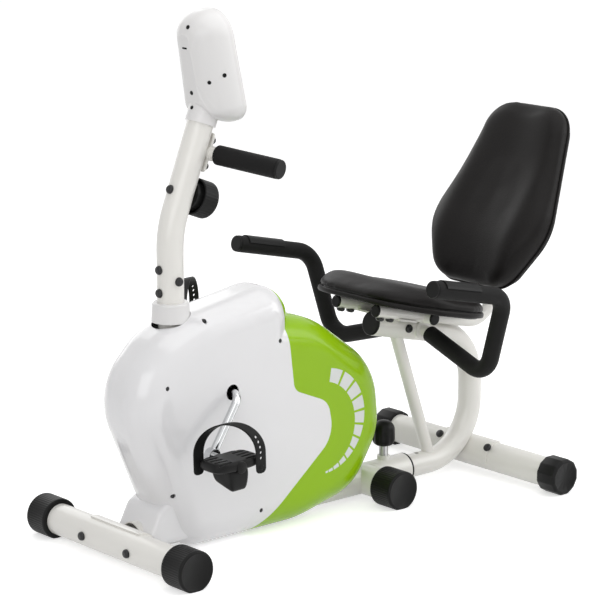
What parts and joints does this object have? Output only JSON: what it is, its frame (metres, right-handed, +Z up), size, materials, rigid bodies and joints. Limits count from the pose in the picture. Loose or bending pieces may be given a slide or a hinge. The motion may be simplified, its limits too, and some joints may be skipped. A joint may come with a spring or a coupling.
{
  "type": "recumbent exercise bike",
  "caption": "Compact recumbent exercise bike with a padded seat on a sliding frame, side handles, enclosed magnetic drive, strapped pedals and a console on a bent post.",
  "frame": {"origin": "on the floor, under the middle of the object's box", "axes": "+X to the rear, from the pedals towards the backrest; +Y to the rider's right; +Z up"},
  "size_m": [1.1447, 0.6036, 0.9995],
  "materials": {
    "white_paint": "satin powder coat",
    "white_gloss": "gloss moulded plastic",
    "ivory_plastic": "satin moulded plastic",
    "green_gloss": "gloss moulded plastic",
    "black_plastic": "fine textured plastic",
    "foam": "soft closed-cell foam",
    "vinyl": "soft vinyl over foam",
    "chrome": "bright plated",
    "steel": "zinc plated",
    "black_steel": "black oxide, lightly oiled",
    "iron": "cast and turned",
    "belt_rubber": "ribbed rubber",
    "dark_window": "clear dark window"
  },
  "bodies": {
    "frame": {"main_tube": "white_paint", "front_saddle": "white_paint", "front_stabiliser": "white_paint", "foot_caps": "black_plastic", "frame_bolts": "black_steel", "middle_foot": "white_paint", "slide_bushing": "black_plastic", "lock_barrel": "steel", "post_socket": "white_paint", "bottom_bracket": "steel", "bearings": "steel", "flywheel_brackets": "steel", "flywheel_axle": "steel", "belt": "belt_rubber", "casing_left": "white_gloss", "casing_right": "white_gloss", "green_cover_left": "green_gloss", "green_cover_right": "green_gloss", "cover_screws": "steel", "front_shroud": "white_gloss", "post_collar": "ivory_plastic", "post": "white_paint", "handlebar": "white_paint", "handlebar_grip": "foam", "handlebar_plugs": "black_plastic", "tension_base": "black_plastic", "console_back": "ivory_plastic", "console_front": "ivory_plastic", "console_lens": "dark_window"},
    "crank": {"crank": "chrome", "drive_pulley": "black_plastic", "pedal_spindles": "steel"},
    "flywheel": {"flywheel": "iron", "flywheel_pulley": "steel"},
    "brake": {"brake_arm": "steel", "brake_magnets": "iron"},
    "left_pedal": {"left_pedal": "black_plastic", "left_strap": "black_plastic"},
    "right_pedal": {"right_pedal": "black_plastic", "right_strap": "black_plastic"},
    "tension_knob": {"tension_knob": "black_plastic"},
    "lock_pin": {"lock_knob": "black_plastic"},
    "rear": {"rear_tube": "white_paint", "rear_strut": "white_paint", "tube_plugs": "black_plastic", "seat_handle": "white_paint", "handle_foam": "foam", "pulse_sensors": "black_plastic", "seat_frame": "white_paint", "seat_pan": "black_plastic", "seat_pad": "vinyl", "back_shell": "black_plastic", "back_pad": "vinyl", "rear_stabiliser": "white_paint", "rear_saddle": "white_paint", "rear_caps": "black_plastic", "rear_bolts": "black_steel"},
    "button_1": {"button_1": "black_plastic"},
    "button_2": {"button_2": "black_plastic"},
    "button_3": {"button_3": "black_plastic"}
  },
  "joints": [
    {"name": "crank_spin", "type": "hinge", "parent": "frame", "child": "crank", "pos_m": [-0.3154, 0, 0.295], "axis": [0, 1, 0], "continuous": true},
    {"name": "flywheel_spin", "type": "hinge", "parent": "frame", "child": "flywheel", "pos_m": [-0.1034, 0, 0.19], "axis": [0, 1, 0], "continuous": true},
    {"name": "brake_swing", "type": "hinge", "parent": "frame", "child": "brake", "pos_m": [0.00824, 0, 0.10889], "axis": [0, 1, 0], "range_deg": [0, 6]},
    {"name": "left_pedal_spin", "type": "hinge", "parent": "crank", "child": "left_pedal", "pos_m": [-0.4027, -0.168, 0.20139], "axis": [0, 1, 0], "continuous": true},
    {"name": "right_pedal_spin", "type": "hinge", "parent": "crank", "child": "right_pedal", "pos_m": [-0.2281, 0.168, 0.38861], "axis": [0, 1, 0], "continuous": true},
    {"name": "tension_turn", "type": "hinge", "parent": "frame", "child": "tension_knob", "pos_m": [-0.37579, 0, 0.6686], "axis": [0.9323, 0, -0.3616], "range_deg": [0, 270]},
    {"name": "seat_slide", "type": "slide", "parent": "frame", "child": "rear", "axis": [1, 0, 0], "range_m": [-0.045, 0.09]},
    {"name": "pin_pull", "type": "slide", "parent": "frame", "child": "lock_pin", "axis": [0, 0, 1], "range_m": [-0.012, 0.004]},
    {"name": "button_1_press", "type": "slide", "parent": "frame", "child": "button_1", "axis": [-0.9833, 0, -0.1822], "range_m": [0, 0.0015], "stiffness_N_per_m": 400},
    {"name": "button_2_press", "type": "slide", "parent": "frame", "child": "button_2", "axis": [-0.9833, 0, -0.1822], "range_m": [0, 0.0015], "stiffness_N_per_m": 400},
    {"name": "button_3_press", "type": "slide", "parent": "frame", "child": "button_3", "axis": [-0.9833, 0, -0.1822], "range_m": [0, 0.0015], "stiffness_N_per_m": 400}
  ],
  "couplings": [
    {"joint": "crank_spin", "follows": "flywheel_spin", "ratio": 0.17143},
    {"joint": "brake_swing", "follows": "tension_turn", "ratio": 0.022222}
  ]
}
